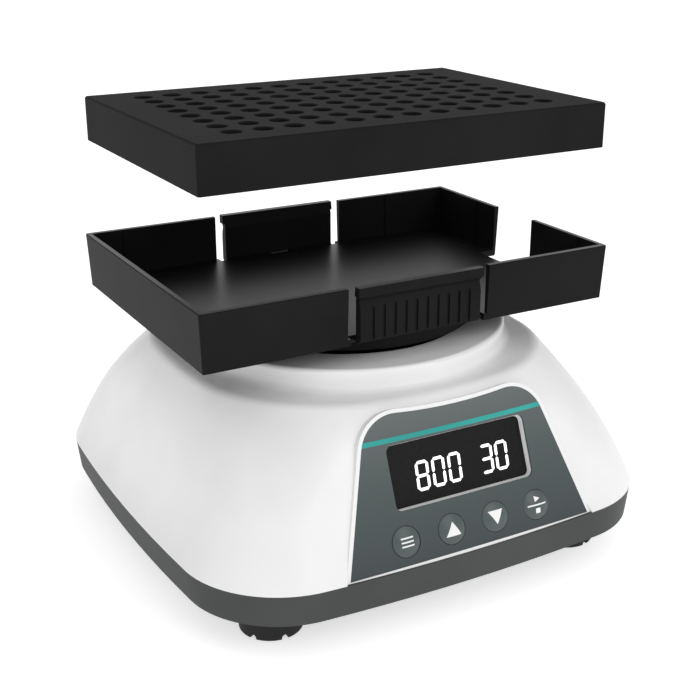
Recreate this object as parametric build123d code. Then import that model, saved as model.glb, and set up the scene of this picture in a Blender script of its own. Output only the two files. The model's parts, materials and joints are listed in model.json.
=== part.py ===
from build123d import *
from math import cos, radians, sin, sqrt
import os

# Orbital microplate shaker with its lifted tube block. Millimetres, +Z up, front is -Y.
# The origin is on the bench, below the middle of the casing.

# Casing
foot_height = 11.1
skirt_height = 9.4
shell_height = 40.9
neck_height = 6.2
tray_gap = 6.3
skirt_draft = 1.0
skirt_bottom_side = 563.0
skirt_bottom_corner = 28.8
wall = 2.5
floor = 2.5
shoulder_radius = 4.0
neck_lip = 12.5
neck_edge = 1.2
neck_blend = 2.4
neck_play = 0.5
shoulder_reach = 5.7

# Shell outline at five levels: share of the height, overhang past the shoulder, side arc radius, corner radius
shell_profile = (
    (0.0, 19.4, 595.0, 30.3),
    (0.25, 14.1, 510.0, 22.4),
    (0.5, 10.3, 357.0, 24.8),
    (0.75, 5.9, 238.0, 33.2),
    (1.0, 0.0, 162.0, 43.3),
)

# Feet
foot_radius = 9.0
foot_inset = 24.1
foot_edge = 0.7
foot_notches = 6
notch_width = 2.2
notch_height = 1.7
notch_reach = 4.5
foot_turns = (0.0, 12.0, 28.0, 44.0)

# Screws: shank radius, head radius, head height
m2 = (1.0, 1.9, 1.2)
m3 = (1.5, 2.75, 1.8)
m4 = (2.0, 3.5, 2.6)
screw_play = 0.2
thread_play = 0.03
run_play = 0.03
boss_wall = 2.2
foot_boss_height = 6.0
foot_screw_length = 12.0
foot_seat = 5.0
bore_end = 0.5
socket_size = 0.85
socket_depth = 0.6
shell_boss_inset = 13.1
shell_boss_y = 20.0
shell_boss_height = 17.5
casing_boss_height = 2.6
casing_screw_length = 12.0

# Deck that carries the drive
deck_margin = 8.0
deck_corner = 8.0
deck_thickness = 6.0
post_reach = 12.0
post_flats = 7.0
motor_lift = 3.4
post_screw_length = 8.0
deck_screw_length = 10.0
access_radius = 4.0

# Motor
motor_radius = 21.0
motor_height = 18.0
motor_wall = 1.2
motor_flange = 2.5
motor_boss_radius = 8.0
motor_boss_height = 3.0
motor_screw_inset = 5.0
motor_screw_length = 7.5
shaft_radius = 2.5
shaft_top_gap = 15.0
end_cap_thickness = 2.0
stator_height = 9.0
stator_gap = 0.5
stator_teeth = 9
tooth_gap = 2.4
tooth_inset = 5.0
rotor_radius = 10.5

# Crank, counterweight and idlers
orbit_radius = 1.5
park_angle = 60.0
hub_radius = 9.0
hub_height = 11.5
hub_gap = 2.0
hub_flange_radius = 17.0
hub_flange = 2.5
weight_gap = 1.5
weight_play = 0.3
weight_drop = 0.5
weight_screw_tip = 0.3
weight_screw_circle = 14.0
weight_screw_spread = 50.0
idler_circle = 28.0
idler_radius = 6.0
idler_first_angle = 90.0
idler_count = 3
idler_gap = 0.4
clip_thickness = 0.6
clip_gap = 0.4
pin_tail = 1.4
set_screw_sink = 0.5
clip_bite = 0.8
clip_reach = 1.5
clip_mouth = 0.45
idler_neck = 1.5

# Ball bearings: bore radius, outer radius, width
crank_bearing_size = (4.0, 8.0, 5.0)
idler_bearing_size = (2.5, 5.5, 4.0)
bearing_shoulder = 1.5
bearing_groove = 0.3
race_line = (0.8, 1.1)

# Drive plate under the tray
plate_radius = 41.0
plate_thickness = 4.5
boss_clearance = 1.3
plate_boss_wall = 3.0
idler_boss_wall = 2.0
tray_screw_circle = 30.0
tray_screw_angle = 30.0
tray_screw_cover = 0.7
tray_bore_end = 0.2

# Tray for one standard microplate
plate_length = 127.76
plate_depth = 85.48
seat_play = 0.2
pad_step = 0.4
tray_end_wall = 1.62
tray_side_wall = 1.86
tray_height = 16.5
tray_draft = 0.7
tray_floor = 2.0
tray_corner = 1.0
tray_rim_edge = 0.35
pad_length = 13.0
pad_offset_y = 27.0
pad_offset_x = 48.0
slit_length = 10.0
slit_width = 0.9
slit_inset = 3.0
side_gap_half = 10.0
side_notch_half = 8.5
side_notch_reach = 6.6

# Plate clips in the front and rear walls
clip_half = 19.7
window_gap = 3.3
lip_overhang = 0.6
clip_gap_in = 0.26
clip_lip_out = 2.9
clip_lip_in = 0.7
clip_lip_height = 2.7
clip_neck_out = 1.8
clip_neck_drop = 3.9
clip_grip_out = 2.6
clip_grip_drop = 5.7
clip_foot_z = 0.6
clip_grip_bevel = 0.2
clip_grip_taper = 1.5
clip_foot_bevel = 0.8
clip_foot_rise = 1.0
rib_count = 10
rib_pitch = 3.5
rib_width = 1.0
rib_depth = 0.5
hinge_height = 1.0
hinge_barrel = 1.0
hinge_pin_radius = 0.5
hinge_pin_play = 0.01
hinge_pin_grip = 4.0
hinge_pin_end = 0.1
hinge_clear = 0.4
hinge_end_gap = 2.3
spring_wire = 0.2
spring_turns = 6
spring_half = 3.6
spring_end_gap = 0.3
spring_pin_gap = 0.1
spring_room = 0.15

# Tube block, shown lifted off the tray
block_height = 13.1
block_lift = 43.8
block_corner = 0.7
block_edge = 0.5
well_radius = 2.75
well_floor = 3.1
well_pitch = 9.0
well_columns = 12
well_rows = 8
well_chamfer = 0.3
well_tip = 0.35

# Front panel, in its own plane: x across, v up the slope, depth behind the face
panel_tilt = 68.0
panel_setback = 0.6
panel_middle = 1.4
overlay_bottom = 0.9
overlay_top_gap = 1.3
overlay_bottom_half = 39.5
overlay_top_half = 26.9
overlay_dip = 2.2
overlay_corner = 11.0
overlay_thickness = 0.6
overlay_play = 0.1
pad_margin = 1.2
pad_thickness = 9.0
panel_wall = 2.5
window_x = 22.65
window_low = 15.5
window_high = 33.4
window_corner = 2.0
window_taper = 11.0
lens_margin = 2.2
lens_thickness = 1.2
lens_play = 0.3
lcd_thickness = 3.0
glass_gap = 0.1
board_gap = 0.2
key_board_low = 2.0
key_board_head = 3.7
key_board_thickness = 1.6
key_board_margin = 3.0
key_post_reach = 7.2
key_post_low = 11.5
key_post_radius = 2.2
key_screw_length = 4.5

# Four keys
key_row = 7.3
key_pitch = 14.4
key_names = ("menu", "up", "down", "start")
key_radius = 4.2
key_play = 0.15
key_dome = 0.9
key_travel = 0.5
key_flange = 0.9
key_flange_thickness = 0.7
key_flange_gap = 0.15
key_stem_radius = 1.6
key_stem_gap = 0.1
key_stem_length = 1.0
switch_size = 6.0

# Main board, supply socket and wires
board_width = 29.0
board_gap_x = 2.0
board_half_y = 28.0
board_lift = 4.0
board_thickness = 1.6
board_inset = 3.5
board_post_radius = 2.6
board_screw_length = 4.5
jack_height = 8.8
jack_barrel = 5.0
jack_flange = 6.3
jack_flange_thickness = 1.6
jack_bore = 3.2
jack_bore_depth = 9.5
jack_pin_radius = 1.0
jack_pin_length = 8.5
jack_length = 19.0
jack_nut_rim = 1.0
jack_nut_thickness = 2.4
jack_inset = 7.9
jack_pocket_gap = 0.7
jack_wall = 2.5
ribbon_width = 8.0
ribbon_thickness = 0.8
ribbon_socket = 1.6
ribbon_drop = (8.0, 1.0)
ribbon_rise = (17.0, 4.0)
ribbon_run = 8.0
ribbon_bend = 3.5
cable_radius = 1.4
socket_height = 5.0
socket_size_xy = 6.0
socket_inset = 1.0
jack_socket_reach = 12.0
jack_cable_lead = 9.0
jack_cable_turn = (14.0, 10.0, 2.0)
jack_cable_bends = (3.5, 5.0, 4.0)

# Main board parts: x from the board's left edge, y, length in x, length in y, height
chips = ((11.0, -1.0, 10.0, 10.0, 1.6), (23.0, -11.0, 6.0, 10.0, 2.2))
# Capacitors: x from the board's left edge, y, radius, height
capacitors = ((9.0, 13.0, 4.0, 9.0), (18.0, 14.0, 3.0, 7.0))

# Places that follow from the drive outwards
crank_pin_radius = crank_bearing_size[0]
idler_pin_radius = idler_bearing_size[0]
weight_radius = idler_circle - idler_radius - weight_gap
neck_opening = idler_circle + idler_bearing_size[1] + idler_boss_wall + orbit_radius + neck_play
neck_radius = neck_opening + neck_lip
shoulder_half = neck_radius + shoulder_reach
casing_half = shoulder_half + shell_profile[0][1]
foot_place = casing_half - foot_inset
shell_boss_x = casing_half - shell_boss_inset
jack_recess = casing_half - jack_inset
jack_pocket_half = jack_flange + jack_pocket_gap
jack_nut_flats = 2 * (jack_barrel + jack_nut_rim)
post_place = idler_circle + post_reach
deck_half = post_place + deck_margin
motor_screw_circle = motor_radius - motor_screw_inset
stator_bore = rotor_radius + stator_gap
tooth_root = motor_radius - tooth_inset
board_x = (-motor_radius - board_gap_x - board_width, -motor_radius - board_gap_x)
ribbon_x = board_x[1] - ribbon_width / 2
jack_socket_x = board_x[1] - jack_socket_reach

# Tray and block sizes that follow from the plate
seat_x = plate_length / 2 + seat_play
seat_y = plate_depth / 2 + seat_play
tray_length = 2 * (seat_x + pad_step + tray_end_wall)
tray_depth = 2 * (seat_y + pad_step + tray_side_wall)
tray_screw_depth = tray_floor - tray_screw_cover
clip_inner = seat_y + clip_gap_in
clip_neck_top = tray_height - clip_neck_drop
clip_grip_top = tray_height - clip_grip_drop
window_half = clip_half + window_gap
well_depth = block_height - well_floor

# Panel places that follow from its keys and window
overlay_top = shell_height / sin(radians(panel_tilt)) - overlay_top_gap
panel_bow = shell_profile[0][2]
key_reach = key_pitch * (len(key_names) - 1) / 2
key_board_post_x = key_reach + key_post_reach
key_board_half = key_board_post_x + key_board_margin
key_board_high = window_high + key_board_head
key_post_high = key_board_high - key_board_margin

# Levels that follow from the heights
skirt_z = foot_height
shell_z = skirt_z + skirt_height
shoulder_z = shell_z + shell_height
neck_z = shoulder_z + neck_height
tray_z = neck_z + tray_gap
floor_z = skirt_z + floor
post_height = motor_height + motor_lift
deck_z = floor_z + post_height
deck_top = deck_z + deck_thickness
hub_z = deck_top + hub_gap
hub_top = hub_z + hub_height
boss_z = hub_top + boss_clearance
bearing_z = boss_z + bearing_shoulder
plate_z = tray_z - plate_thickness
seat_z = tray_z + tray_floor
rim_z = tray_z + tray_height
board_top = floor_z + board_lift + board_thickness
block_z = seat_z + block_lift
crank_x = orbit_radius * cos(radians(park_angle))
crank_y = orbit_radius * sin(radians(park_angle))
idler_angles = [idler_first_angle + 360 / idler_count * i for i in range(idler_count)]
panel_face = Plane(
    origin=(0, panel_setback - casing_half, shell_z),
    x_dir=(1, 0, 0),
    z_dir=(0, -sin(radians(panel_tilt)), cos(radians(panel_tilt))),
)


def rod(radius, low, high, x=0.0, y=0.0):
    """A cylinder from one level to another at x, y."""
    centred = (Align.CENTER, Align.CENTER, Align.MIN)
    return Pos(x, y, low) * Cylinder(radius, high - low, align=centred)


def ring(outer, inner, low, high, x=0.0, y=0.0):
    """A plain ring from one level to another at x, y."""
    return rod(outer, low, high, x, y) - rod(inner, low - 1, high + 1, x, y)


def brick(x0, x1, y0, y1, z0, z1):
    """A box between three pairs of limits."""
    return Pos((x0 + x1) / 2, (y0 + y1) / 2, (z0 + z1) / 2) * Box(x1 - x0, y1 - y0, z1 - z0)


def polar(radius, angle):
    """The x, y place at a radius and an angle in degrees."""
    return radius * cos(radians(angle)), radius * sin(radians(angle))


def corners(dx, dy):
    """The four places at plus and minus dx, dy."""
    return [(-dx, -dy), (dx, -dy), (dx, dy), (-dx, dy)]


def many(shapes, place=Pos(0, 0, 0)):
    """Separate solids kept together in one node, moved to the place."""
    return Compound(children=[place * solid for shape in shapes for solid in shape.solids()])


def screw(size, length, tip, x=0.0, y=0.0, up=True):
    """A socket screw whose head seat lies `length` before its tip."""
    shank, head, height = size
    turn = Rot(0, 0, 0) if up else Rot(180, 0, 0)
    body = rod(shank, -length, 0) + rod(head, -length - height, -length)
    socket = extrude(RegularPolygon(shank * socket_size, 6), height * socket_depth)
    body -= Pos(0, 0, -length - height) * socket
    return Pos(x, y, tip) * (turn * body)


def rounded_square(half, side_radius, corner_radius, level):
    """Four shallow side arcs joined by tangent corner arcs."""
    offset = side_radius - half
    reach = side_radius - corner_radius
    centre = (sqrt(2 * reach**2 - offset**2) - offset) / 2
    short = centre * side_radius / reach
    far = (centre + offset) * side_radius / reach - offset
    middle = centre + corner_radius / sqrt(2)
    edges = []
    for turn in range(4):
        side = ThreePointArc((-short, far), (0, half), (short, far))
        corner = ThreePointArc((short, far), (middle, middle), (far, short))
        edges += [side.rotate(Axis.Z, -90 * turn), corner.rotate(Axis.Z, -90 * turn)]
    return Pos(0, 0, level) * make_face(edges)


def skirt_body(inset, low, high):
    """The skirt's tapered outline, moved in by the inset."""
    _, _, side, corner = shell_profile[0]
    bottom = rounded_square(
        casing_half - skirt_draft - inset, skirt_bottom_side - inset, skirt_bottom_corner - inset, low
    )
    top = rounded_square(casing_half - inset, side - inset, corner - inset, high)
    return loft([bottom, top])


def shell_body(inset, low, high):
    """The shell's curved outline, moved in by the inset."""
    faces = []
    for share, overhang, side, corner in shell_profile:
        level = low + share * (high - low)
        half = shoulder_half + overhang - inset
        faces.append(rounded_square(half, side - inset, corner - inset, level))
    return loft(faces)


def overlay_outline(margin):
    """The panel's outline: sloped sides, round top corners and a dipped top edge, larger by the margin."""
    slope = (overlay_bottom_half - overlay_top_half) / (overlay_top - overlay_bottom)
    side = margin * sqrt(1 + slope**2)
    low = overlay_bottom - margin
    high = overlay_top + margin
    low_half = overlay_bottom_half + side + margin * slope
    high_half = overlay_top_half + side - margin * slope
    top = ThreePointArc((-high_half, high), (0, high - overlay_dip), (high_half, high))
    sides = Polyline((high_half, high), (low_half, low), (-low_half, low), (-high_half, high))
    face = make_face([top, *sides.edges()])
    upper = face.vertices().sort_by(Axis.Y)[-2:]
    return Pos(panel_middle, 0) * fillet(upper, overlay_corner + margin)


def window_outline(margin):
    """The display window's outline, larger by the margin."""
    width = 2 * (window_x + margin)
    height = window_high - window_low + 2 * margin
    middle = (window_low + window_high) / 2
    return Pos(panel_middle, middle) * RectangleRounded(width, height, window_corner)


def behind(shape, near, far):
    """An outline as a solid between two depths behind the panel's plane."""
    return panel_face * (Pos(0, 0, -far) * extrude(shape, far - near))


def bow(x, depth=0.0):
    """How far the bowed panel face, or a face at a depth behind it, lies behind the panel's plane at x."""
    return panel_bow - sqrt((panel_bow - depth) ** 2 - x**2)


def behind_bow(shape, near, far):
    """An outline as a solid between two depths behind the bowed panel face."""
    end = casing_half
    arcs = [ThreePointArc((-end, -bow(end, d)), (0, -d), (end, -bow(end, d))) for d in (near, far)]
    ends = [Line((x, -bow(end, near)), (x, -bow(end, far))) for x in (-end, end)]
    section = Plane.XZ * make_face([*arcs, *ends])
    slab = extrude(section, 2 * shell_height, both=True)
    deep = bow(end, far)
    prism = Pos(0, 0, -deep) * extrude(shape, deep - near)
    return panel_face * (slab & prism)


def key_places():
    """Where the four keys lie across the panel."""
    return [panel_middle - key_reach + key_pitch * i for i in range(len(key_names))]


def make_foot(x, y, turn):
    """A round rubber foot with notches round its lower edge and a deep screw seat."""
    foot = rod(foot_radius, 0, foot_height)
    foot = fillet(foot.edges().sort_by(Axis.Z)[:1], foot_edge)
    foot -= rod(m4[1] + screw_play * 2, -1, foot_seat)
    foot -= rod(m4[0] + screw_play, -1, foot_height + 1)
    round_z = notch_height - notch_width / 2
    far = notch_reach + foot_radius
    slot = Pos(0, 0, round_z) * Rot(0, 90, 0) * rod(notch_width / 2, notch_reach, far)
    slot += brick(notch_reach, far, -notch_width / 2, notch_width / 2, -1, round_z)
    for i in range(foot_notches):
        foot -= Rot(0, 0, turn - 90 + 360 / foot_notches * i) * slot
    return Pos(x, y, 0) * foot


def make_base_casing():
    """The dark skirt with its floor, bosses and screw holes."""
    base = skirt_body(0, skirt_z, shell_z) - skirt_body(wall, floor_z, shell_z + 0.01)
    for x, y in corners(foot_place, foot_place):
        base += rod(m4[0] + boss_wall, floor_z - 1, floor_z + foot_boss_height, x, y)
        base -= rod(m4[0] + thread_play, skirt_z - 1, foot_seat + foot_screw_length + bore_end, x, y)
    for x, y in corners(shell_boss_x, shell_boss_y):
        base += rod(m3[0] + boss_wall, floor_z - 1, floor_z + casing_boss_height, x, y)
        base -= rod(m3[0] + screw_play, skirt_z - 1, shell_z, x, y)
        base -= rod(m3[1] + screw_play, skirt_z - 1, skirt_z + m3[2] + screw_play, x, y)
    for x, y in corners(post_place, post_place):
        base += rod(m3[1] + boss_wall, floor_z - 1, floor_z, x, y)
        base -= rod(m3[0] + screw_play, skirt_z - 1, shell_z, x, y)
    for x, y in board_corners():
        base += rod(board_post_radius, floor_z - 1, floor_z + board_lift, x, y)
        base -= rod(m2[0] + thread_play, floor_z, shell_z, x, y)
    return base


def board_corners():
    """The main board's four screw places."""
    middle = sum(board_x) / 2
    reach = (board_x[1] - board_x[0]) / 2 - board_inset
    return [(middle + x, y) for x, y in corners(reach, board_half_y - board_inset)]


def neck_solid(radius, top):
    """The round neck with its edge and the blend at its foot."""
    edge = min(neck_edge, radius * 0.1)
    line = [
        Polyline((0, shoulder_z - wall), (radius + neck_blend, shoulder_z - wall),
                 (radius + neck_blend, shoulder_z)),
        RadiusArc((radius + neck_blend, shoulder_z), (radius, shoulder_z + neck_blend), neck_blend),
        Line((radius, shoulder_z + neck_blend), (radius, top - edge)),
        RadiusArc((radius, top - edge), (radius - edge, top), -edge),
        Polyline((radius - edge, top), (0, top), (0, shoulder_z - wall)),
    ]
    face = make_face([e for part in line for e in part.edges()])
    return revolve(Plane.XZ * face, Axis.Z)


def make_top_shell():
    """The white shell: curved sides, panel seat, neck, screw bosses and rear socket seat."""
    outer = shell_body(0, shell_z, shoulder_z)
    rim = outer.edges().filter_by(lambda e: e.center().Z > shoulder_z - 0.01)
    outer = fillet(rim, shoulder_radius)
    outer += neck_solid(neck_radius, neck_z)
    inner = shell_body(wall, shell_z - 0.01, shoulder_z - wall)
    inner += rod(neck_radius - wall, shell_z + wall, neck_z - wall)

    above = brick(-casing_half, casing_half, -2 * casing_half, 0, shell_z, shoulder_z)
    seat = behind_bow(overlay_outline(pad_margin), 0, pad_thickness) & above
    proud = behind_bow(overlay_outline(pad_margin), -pad_thickness, 0)
    boss_low = floor_z + casing_boss_height
    bosses = [rod(m3[0] + boss_wall, boss_low, shell_z + shell_boss_height, x, y)
              for x, y in corners(shell_boss_x, shell_boss_y)]

    jack_z = shell_z + jack_height
    socket = brick(-jack_pocket_half - wall, jack_pocket_half + wall, jack_recess - jack_wall,
                   casing_half, shell_z, jack_z + jack_pocket_half + wall)

    shell = (outer + seat) - proud - inner
    lower = brick(-casing_half, casing_half, -casing_half, casing_half, floor_z, shell_z)
    for boss in bosses:
        shell += boss & (outer + lower)
    shell += socket & outer
    shell -= rod(neck_opening, neck_z - wall - 1, neck_z + 1)
    shell -= brick(-jack_pocket_half, jack_pocket_half, jack_recess, casing_half + wall,
                   jack_z - jack_pocket_half, jack_z + jack_pocket_half)
    shell -= Pos(0, jack_recess, jack_z) * Rot(90, 0, 0) * Cylinder(jack_barrel + screw_play / 2, 3 * wall)

    for x, y in corners(shell_boss_x, shell_boss_y):
        shell -= rod(m3[0] + thread_play, floor_z, casing_screw_tip() + bore_end, x, y)

    for x, v in key_board_screw_places():
        shell += behind(Pos(x, v) * Circle(key_post_radius), panel_wall - 0.5, board_depth())
        shell -= behind(Pos(x, v) * Circle(m2[0] + thread_play), panel_wall + 0.5, board_depth() + 1)

    shell -= behind_bow(overlay_outline(overlay_play), -1, overlay_thickness)
    opening = Pos(0, 0, -overlay_thickness) * extrude(window_outline(0), -panel_wall, taper=window_taper)
    shell -= panel_face * opening
    shell -= behind(window_outline(lens_margin + lens_play), panel_wall, board_depth())
    for x in key_places():
        shell -= behind(Pos(x, key_row) * Circle(key_radius + key_play), -1, 2 * panel_wall)
        shell -= behind(Pos(x, key_row) * Circle(key_radius + key_flange + key_play), flange_depth(),
                        board_depth() + 1)
    return shell


def casing_screw_tip():
    """The level that the casing screws reach up to."""
    return skirt_z + m3[2] + screw_play + casing_screw_length


def board_depth():
    """Depth of the key board's face behind the panel face."""
    return panel_wall + lens_thickness + glass_gap + lcd_thickness + board_gap


def flange_depth():
    """Depth of the seat that the keys' flanges rest against."""
    return panel_wall - key_flange_gap


def make_panel_overlay():
    """The printed panel sheet with its window and key holes."""
    sheet = behind_bow(overlay_outline(0), 0, overlay_thickness)
    sheet -= behind(window_outline(0), -1, panel_wall)
    for x in key_places():
        sheet -= behind(Pos(x, key_row) * Circle(key_radius + key_play), -1, panel_wall)
    return sheet


def make_key(x):
    """A domed key with a flange behind the wall and a stem to its switch."""
    sphere = (key_radius**2 + key_dome**2) / (2 * key_dome)
    face = -bow(x)
    dome = Pos(0, 0, face + key_dome - sphere) * Sphere(sphere) & rod(key_radius, face, key_dome + 1)
    back = flange_depth() + key_flange_gap / 2 + key_flange_thickness
    cap = rod(key_radius, -back, face) + dome
    cap += rod(key_radius + key_flange, -back, key_flange_thickness - back)
    reach = board_depth() - switch_height() - key_travel - key_stem_gap
    cap += rod(key_stem_radius, -max(reach, back + 0.1), -back + 0.1)
    return panel_face * (Pos(x, key_row, 0) * cap)


def switch_height():
    """Height of a key switch above its board."""
    room = board_depth() - panel_wall - key_flange_thickness - key_travel - 2 * key_flange_gap
    return room - key_stem_length


def make_key_switches():
    """The four square switches behind the keys."""
    square = Rectangle(switch_size, switch_size)
    near = board_depth() - switch_height()
    return many([behind(Pos(x, key_row) * square, near, board_depth()) for x in key_places()])


def make_display_window():
    """The dark lens behind the window."""
    return behind(window_outline(lens_margin), panel_wall, panel_wall + lens_thickness)


def make_display_module():
    """The display glass and frame between lens and board."""
    near = panel_wall + lens_thickness + glass_gap
    return behind(window_outline(lens_margin), near, near + lcd_thickness)


def key_board_screw_places():
    """Where the key board's screws lie in the panel plane."""
    levels = (key_post_low, key_post_high)
    return [(panel_middle + side * key_board_post_x, v) for side in (-1, 1) for v in levels]


def make_key_board():
    """The board behind the panel with its ribbon socket."""
    middle = (key_board_low + key_board_high) / 2
    sheet = Rectangle(2 * key_board_half, key_board_high - key_board_low)
    sheet = Pos(panel_middle, middle) * sheet
    depth = board_depth()
    board = behind(sheet, depth, depth + key_board_thickness)
    socket = Pos(ribbon_x, key_row) * Rectangle(ribbon_width, 3 * ribbon_thickness)
    back = depth + key_board_thickness
    board += behind(socket, back, back + ribbon_socket)
    for x, v in key_board_screw_places():
        board -= behind(Pos(x, v) * Circle(m2[0] + screw_play), depth - 1, depth + 3)
    return board


def make_key_board_screws():
    """Four small screws from behind the key board into the shell's posts."""
    back = board_depth() + key_board_thickness
    one = screw(m2, key_screw_length, key_screw_length)
    screws = [panel_face * (Pos(x, v, -back) * one) for x, v in key_board_screw_places()]
    return many(screws)


def make_deck_posts():
    """Four hexagonal posts from the floor to the deck."""
    post = extrude(RegularPolygon(post_flats / 2, 6, major_radius=False), post_height)
    post -= rod(m3[0] + thread_play, -1, post_height + 1)
    return many([Pos(x, y, floor_z) * post for x, y in corners(post_place, post_place)])


def make_deck_plate():
    """The stiff deck with the motor seat, idler bearing seats and access holes."""
    deck = extrude(RectangleRounded(2 * deck_half, 2 * deck_half, deck_corner), deck_thickness)
    deck = Pos(0, 0, deck_z) * deck
    deck -= rod(motor_boss_radius + screw_play / 2, deck_z - 1, deck_top + 1)
    for x, y in corners(post_place, post_place):
        deck -= rod(m3[0] + screw_play, deck_z - 1, deck_top + 1, x, y)
    for i in range(4):
        x, y = polar(motor_screw_circle, 45 + 90 * i)
        deck -= rod(m3[0] + screw_play, deck_z - 1, deck_top + 1, x, y)
    bore, outer, width = idler_bearing_size
    for angle in idler_angles:
        x, y = polar(idler_circle, angle)
        deck -= rod(outer, deck_top - width, deck_top + 1, x, y)
        deck -= rod(outer - bearing_shoulder, deck_z - 1, deck_top, x, y)
    for i in range(idler_count):
        x, y = polar(tray_screw_circle, tray_screw_angle + 360 / idler_count * i)
        deck -= rod(access_radius, deck_z - 1, deck_top + 1, x, y)
    return deck


def make_motor_can():
    """The motor's can with its flange, boss and threaded holes."""
    low = deck_z - motor_height
    can = rod(motor_radius, low, deck_z) + rod(motor_boss_radius, deck_z, deck_z + motor_boss_height)
    can -= rod(motor_radius - motor_wall, low - 1, deck_z - motor_flange)
    can -= rod(shaft_radius + run_play, low, deck_top)
    for i in range(4):
        x, y = polar(motor_screw_circle, 45 + 90 * i)
        can -= rod(m3[0] + thread_play, deck_z - motor_flange - 1, deck_z + 1, x, y)
    return can


def make_motor_end_cap():
    """The motor's lower end cap."""
    low = deck_z - motor_height
    cap = rod(motor_radius - motor_wall, low, low + end_cap_thickness)
    cap += rod(2 * shaft_radius, low, low + 2 * end_cap_thickness)
    return cap - rod(shaft_radius + run_play, low + end_cap_thickness / 2, deck_z)


def stator_low():
    """The level at which the stator begins."""
    room = motor_height - motor_flange - end_cap_thickness
    return deck_z - motor_flange - (room + stator_height) / 2


def make_motor_stator():
    """The slotted stator stack inside the can."""
    low = stator_low()
    stack = ring(motor_radius - motor_wall, stator_bore, low, low + stator_height)
    for i in range(stator_teeth):
        slot = brick(stator_bore - 1, tooth_root, -tooth_gap / 2, tooth_gap / 2, low - 1,
                     low + stator_height + 1)
        stack -= Rot(0, 0, 360 / stator_teeth * i) * slot
    return stack


def make_motor_rotor():
    """The magnet rotor on the shaft."""
    low = stator_low()
    return ring(rotor_radius, shaft_radius, low, low + stator_height)


def make_motor_shaft():
    """The motor shaft up into the hub."""
    low = deck_z - motor_height + end_cap_thickness
    return rod(shaft_radius, low, deck_z + shaft_top_gap)


def make_eccentric_hub():
    """The hub on the shaft with the offset crank pin on top."""
    pin_top = bearing_z + crank_bearing_size[2] + clip_gap + clip_thickness + pin_tail
    hub = rod(hub_radius, hub_z, hub_top) + rod(hub_flange_radius, hub_z, hub_z + hub_flange)
    hub += rod(crank_pin_radius - run_play, hub_top, pin_top, crank_x, crank_y)
    hub -= rod(shaft_radius, hub_z - 1, deck_z + shaft_top_gap)
    hub -= set_screw_solid(m4[0] + thread_play, hub_radius + 1)
    for x, y in weight_screw_places():
        hub -= rod(m3[0] + thread_play, hub_z - 1, hub_top, x, y)
    groove = clip_groove(crank_pin_radius, bearing_z + crank_bearing_size[2] + clip_gap)
    return hub - Pos(crank_x, crank_y, 0) * groove


def set_screw_solid(radius, reach):
    """A radial rod from the shaft outwards on the crank's side."""
    middle = (hub_z + hub_flange + deck_z + shaft_top_gap) / 2
    length = reach - shaft_radius
    bar = Pos(shaft_radius + length / 2, 0, middle) * Rot(0, 90, 0) * Cylinder(radius, length)
    return Rot(0, 0, park_angle) * bar


def clip_groove(radius, level):
    """The groove that holds a retaining clip on a pin."""
    return ring(radius + 1, radius * clip_bite, level, level + clip_thickness)


def retaining_clip(radius, level):
    """An open retaining clip for a pin."""
    inner = radius * clip_bite + run_play
    clip = ring(radius * clip_reach, inner, level + run_play, level + clip_thickness - run_play)
    mouth = radius * clip_mouth
    return clip - brick(0, 2 * radius, -mouth, mouth, level - 1, level + 2 * clip_thickness)


def weight_screw_places():
    """Where the counterweight's two screws lie."""
    spread = (-weight_screw_spread, weight_screw_spread)
    return [polar(weight_screw_circle, park_angle + 180 + s) for s in spread]


def weight_screw_seat():
    """The level that the counterweight screws' heads rest on."""
    return hub_top - weight_drop - m3[2]


def make_counterweight():
    """The half-ring weight opposite the crank pin."""
    low = hub_z + hub_flange
    weight = ring(weight_radius, hub_radius + weight_play, low, hub_top - weight_drop)
    weight -= Rot(0, 0, park_angle) * brick(0, 2 * weight_radius, -2 * weight_radius, 2 * weight_radius,
                                            low - 1, hub_top + 1)
    for x, y in weight_screw_places():
        weight -= rod(m3[0] + screw_play, low - 1, hub_top + 1, x, y)
        weight -= rod(m3[1] + screw_play, weight_screw_seat(), hub_top + 1, x, y)
    return weight


def make_counterweight_screws():
    """The two screws that hold the counterweight."""
    tip = hub_z + weight_screw_tip
    length = weight_screw_seat() - tip
    return many([screw(m3, length, tip, x, y, up=False) for x, y in weight_screw_places()])


def bearing(size, low, x, y):
    """A shielded ball bearing with its race lines."""
    bore, outer, width = size
    body = ring(outer, bore, low, low + width, x, y)
    middle = (bore + outer) / 2
    for level in (low - 1, low + width - bearing_groove):
        body -= ring(middle + race_line[1], middle + race_line[0], level, level + 1, x, y)
    return body


def make_idler(angle):
    """An idler crank: lower journal, body and offset upper journal."""
    x, y = polar(idler_circle, angle)
    width = idler_bearing_size[2]
    journal = idler_pin_radius - run_play
    body_top = bearing_z - bearing_shoulder - idler_gap - idler_neck
    top = bearing_z + width + clip_gap + clip_thickness + pin_tail
    crank = rod(journal, deck_top - width, deck_top + idler_gap)
    crank += rod(idler_radius, deck_top + idler_gap, body_top)
    upper = rod(journal, body_top, top)
    upper -= clip_groove(idler_pin_radius, bearing_z + width + clip_gap)
    return Pos(x, y, 0) * (crank + Pos(crank_x, crank_y, 0) * upper)


def make_idler_clip(angle):
    """The retaining clip on an idler's upper journal."""
    x, y = polar(idler_circle, angle)
    clip = retaining_clip(idler_pin_radius, bearing_z + idler_bearing_size[2] + clip_gap)
    return Pos(x + crank_x, y + crank_y, 0) * clip


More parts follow.
